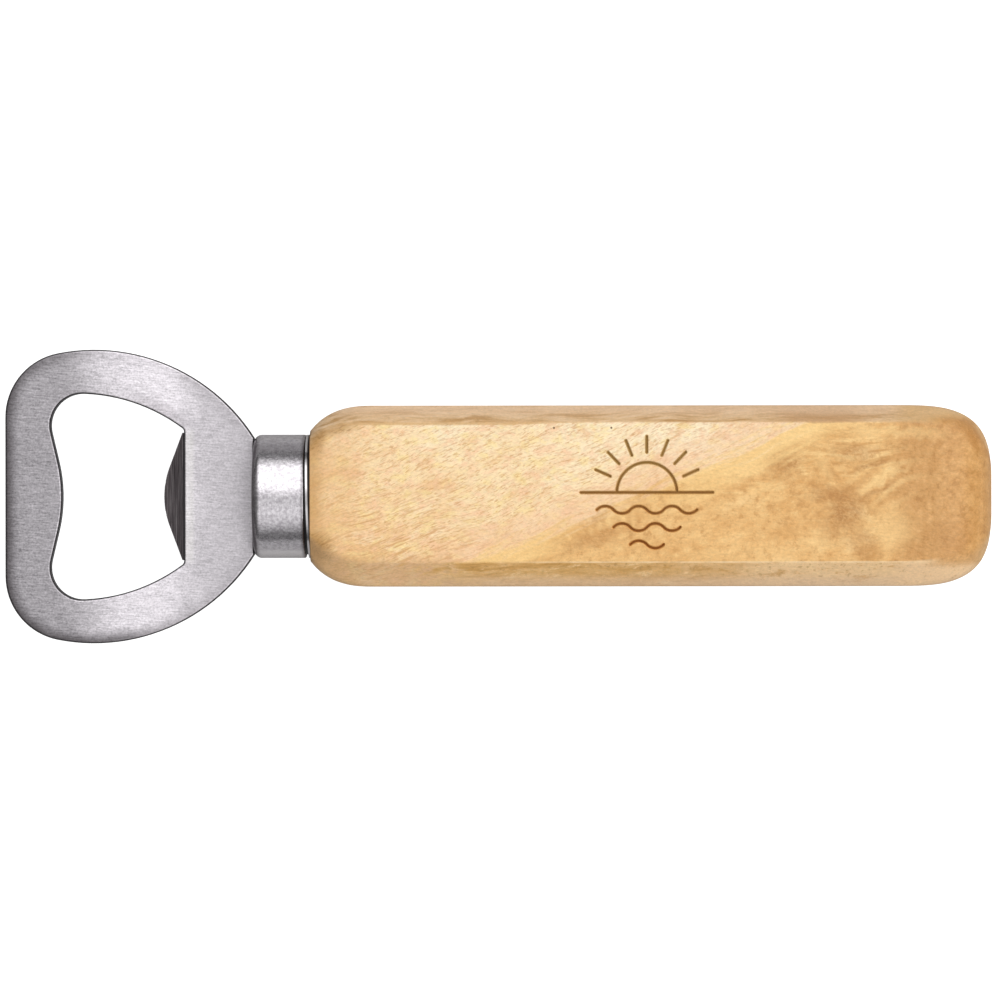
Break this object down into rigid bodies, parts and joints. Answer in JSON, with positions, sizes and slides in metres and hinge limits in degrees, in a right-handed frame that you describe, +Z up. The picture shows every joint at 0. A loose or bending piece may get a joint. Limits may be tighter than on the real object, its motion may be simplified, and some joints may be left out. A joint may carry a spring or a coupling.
{
  "type": "bottle opener",
  "caption": "Hand bottle opener with a stamped steel head, bent cap lifter, steel ferrule and eight-sided wooden handle with a small engraved sunrise.",
  "frame": {"origin": "centre of the bounding box's underside, on the surface that the handle's lower facet rests on", "axes": "+X from the head along the handle to its butt, +Z up through the engraved top facet, +Y across"},
  "size_m": [0.15, 0.0448, 0.0205],
  "materials": {
    "head_steel": "satin, brushed lengthwise",
    "ferrule_steel": "smooth satin with soft highlights",
    "washer_steel": "bright",
    "adhesive": "cured amber epoxy",
    "wood": "pale satin hardwood, lightly oiled"
  },
  "bodies": {
    "root": {"opener_head": "head_steel", "ferrule": "ferrule_steel", "backing_washer": "washer_steel", "tang_adhesive": "adhesive", "handle": "wood"}
  },
  "joints": []
}
